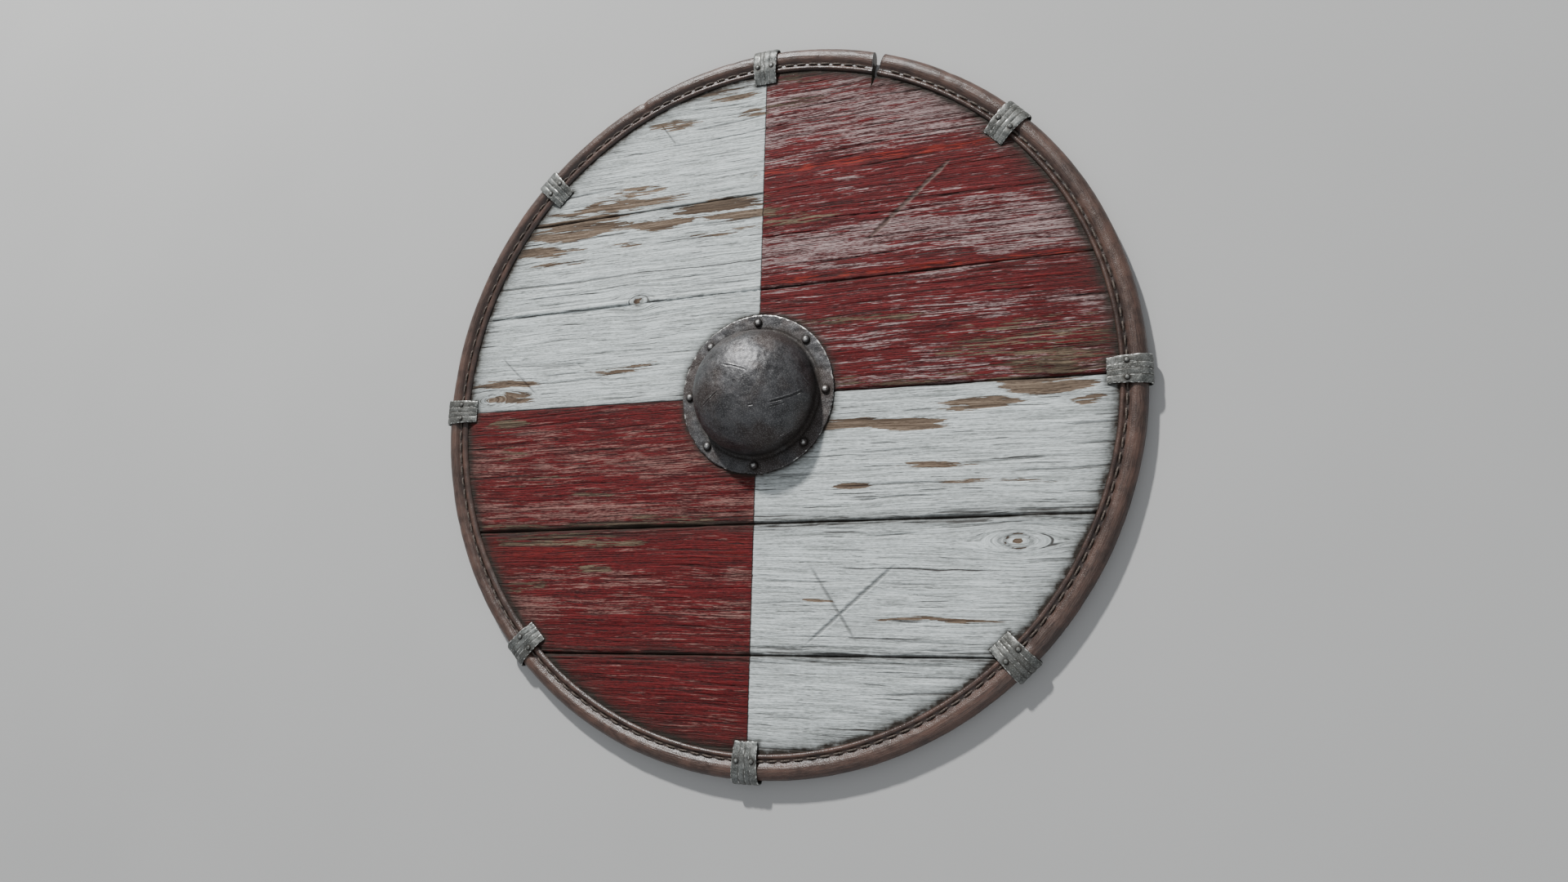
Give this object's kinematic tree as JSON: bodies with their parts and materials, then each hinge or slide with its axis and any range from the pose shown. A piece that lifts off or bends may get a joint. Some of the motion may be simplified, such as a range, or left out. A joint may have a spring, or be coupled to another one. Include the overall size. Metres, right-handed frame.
{
  "type": "round shield",
  "caption": "Round wooden shield of painted planks with a stitched leather edging, iron clips, a domed iron boss and a handle behind it.",
  "frame": {"origin": "on the surface that the shield lies on, below the middle of the boss", "axes": "+Z out of the shield's front, through the boss; +Y to the top of the shield, across the planks; +X along the planks"},
  "size_m": [0.8696, 0.8696, 0.0776],
  "materials": {
    "painted_wood": "planks painted in red and off-white quarters, worn through to grey-brown wood along the grain",
    "bare_wood": "bare oiled wood, worn by the hand",
    "leather": "brown leather, rolled, stitched and scuffed",
    "forged_iron": "hammered grey iron with bright worn edges",
    "dark_iron": "dark oiled iron with dents and a bright worn edge"
  },
  "bodies": {
    "root": {"plank_1": "painted_wood", "plank_2": "painted_wood", "plank_3": "painted_wood", "plank_4": "painted_wood", "plank_5": "painted_wood", "plank_6": "painted_wood", "leather_edging": "leather", "clip_1": "forged_iron", "clip_2": "forged_iron", "clip_3": "forged_iron", "clip_4": "forged_iron", "clip_5": "forged_iron", "clip_6": "forged_iron", "clip_7": "forged_iron", "clip_8": "forged_iron", "clip_rivet_1a": "forged_iron", "clip_rivet_1b": "forged_iron", "clip_rivet_2a": "forged_iron", "clip_rivet_2b": "forged_iron", "clip_rivet_3a": "forged_iron", "clip_rivet_3b": "forged_iron", "clip_rivet_4a": "forged_iron", "clip_rivet_4b": "forged_iron", "clip_rivet_5a": "forged_iron", "clip_rivet_5b": "forged_iron", "clip_rivet_6a": "forged_iron", "clip_rivet_6b": "forged_iron", "clip_rivet_7a": "forged_iron", "clip_rivet_7b": "forged_iron", "clip_rivet_8a": "forged_iron", "clip_rivet_8b": "forged_iron", "boss": "dark_iron", "boss_rivet_1": "dark_iron", "boss_rivet_2": "dark_iron", "boss_rivet_3": "dark_iron", "boss_rivet_4": "dark_iron", "boss_rivet_5": "dark_iron", "boss_rivet_6": "dark_iron", "boss_rivet_7": "dark_iron", "boss_rivet_8": "dark_iron", "handle": "bare_wood"}
  },
  "joints": []
}
